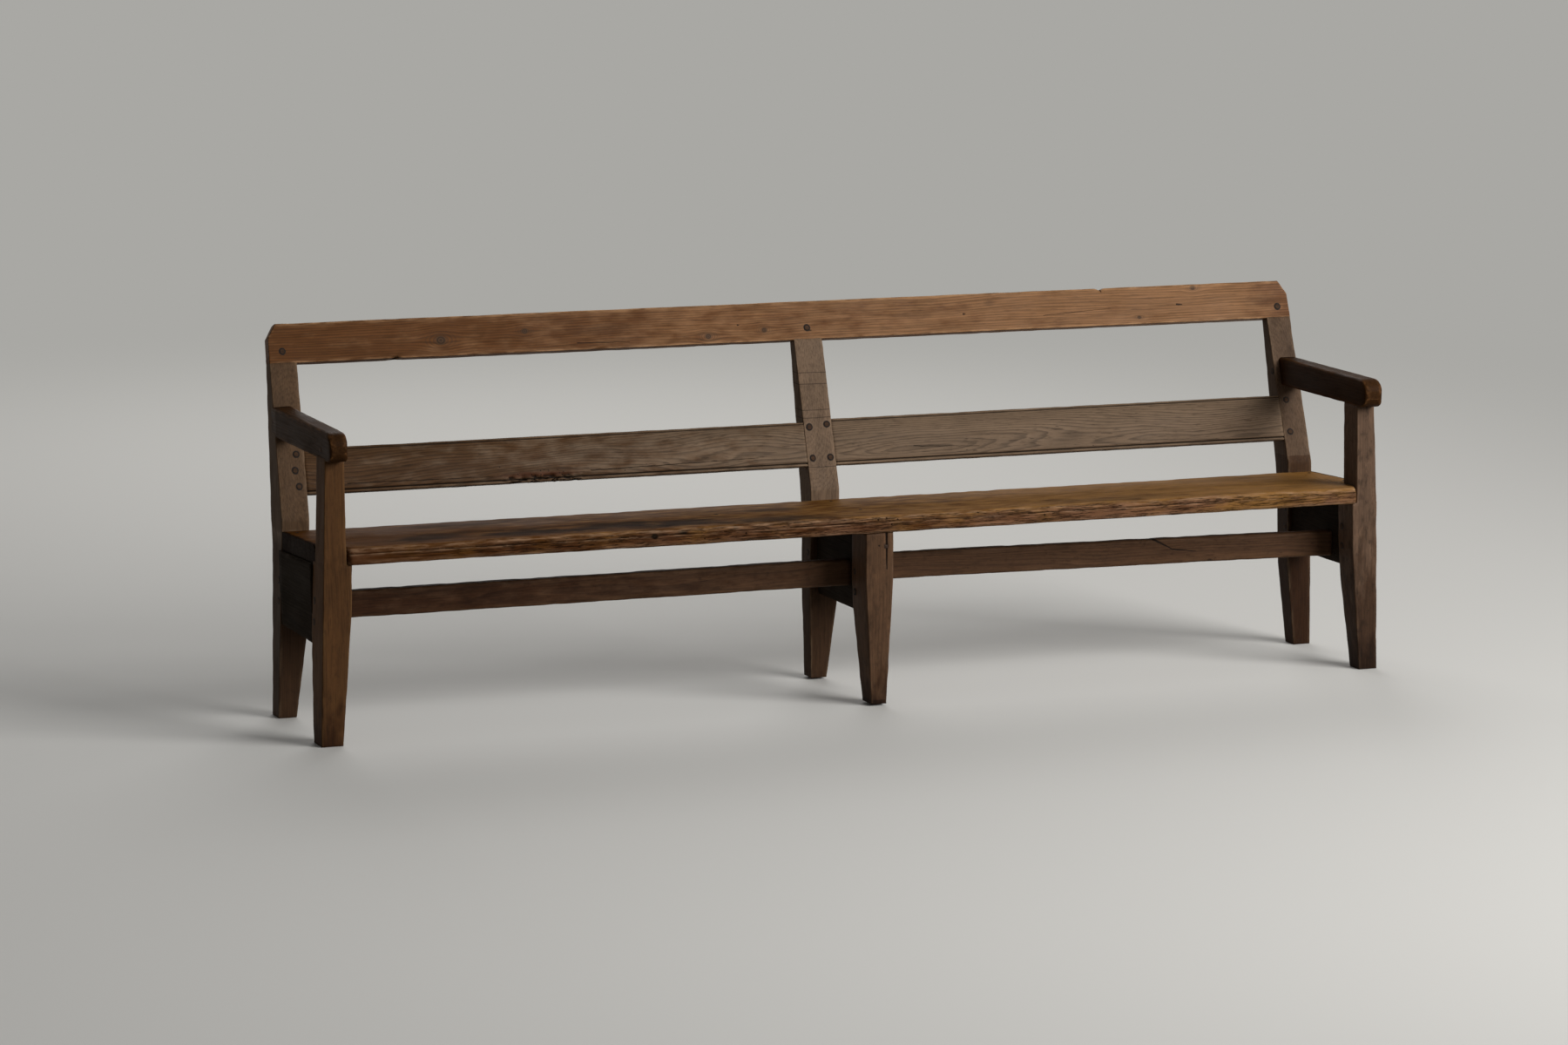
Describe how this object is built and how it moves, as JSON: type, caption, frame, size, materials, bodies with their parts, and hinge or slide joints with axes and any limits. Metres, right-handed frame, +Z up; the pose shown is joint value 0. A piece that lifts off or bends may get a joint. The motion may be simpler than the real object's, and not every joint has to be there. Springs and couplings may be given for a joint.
{
  "type": "monks bench",
  "caption": "Long settle-like bench with a raked boarded back, low arms and a thick seat plank on pegged end and middle frames.",
  "frame": {"origin": "on the floor, under the middle of the whole bench", "axes": "+X along the bench to the right as seen from its front, +Y to the back, +Z up; the front faces -Y"},
  "size_m": [2.65, 0.5524, 0.894],
  "materials": {
    "red_pine": "waxed old pine, reddish",
    "pale_pine": "scrubbed pale pine",
    "grey_oak": "dry grey-brown oak",
    "honey_plank": "polished by use, pale worn nose",
    "dark_pine": "dark red-brown, dry",
    "polished_arm": "dark brown, polished by hands",
    "orange_leg": "orange-brown, worn",
    "mottled_leg": "mottled brown, worn",
    "weathered_leg": "weathered grey-brown",
    "rough_board": "rough-sawn, dark",
    "forged_iron": "forged, rusty brown",
    "oak_pegs": "riven oak end grain"
  },
  "bodies": {
    "root": {"left_arm": "polished_arm", "left_arm_pegs": "oak_pegs", "left_back_post": "pale_pine", "left_back_rail": "grey_oak", "left_cross_board": "rough_board", "left_frame_pegs": "oak_pegs", "left_front_leg": "orange_leg", "left_post_pegs": "oak_pegs", "left_stretcher": "dark_pine", "middle_back_post": "pale_pine", "middle_cross_board": "rough_board", "middle_frame_pegs": "oak_pegs", "middle_front_leg": "mottled_leg", "middle_leg_nail": "forged_iron", "middle_post_pegs": "oak_pegs", "right_arm": "polished_arm", "right_arm_pegs": "oak_pegs", "right_back_post": "pale_pine", "right_back_rail": "grey_oak", "right_cross_board": "rough_board", "right_frame_pegs": "oak_pegs", "right_front_leg": "weathered_leg", "right_post_pegs": "oak_pegs", "right_stretcher": "dark_pine", "seat_nails": "forged_iron", "seat_plank": "honey_plank", "top_rail": "red_pine", "top_rail_pegs": "oak_pegs"}
  },
  "joints": []
}
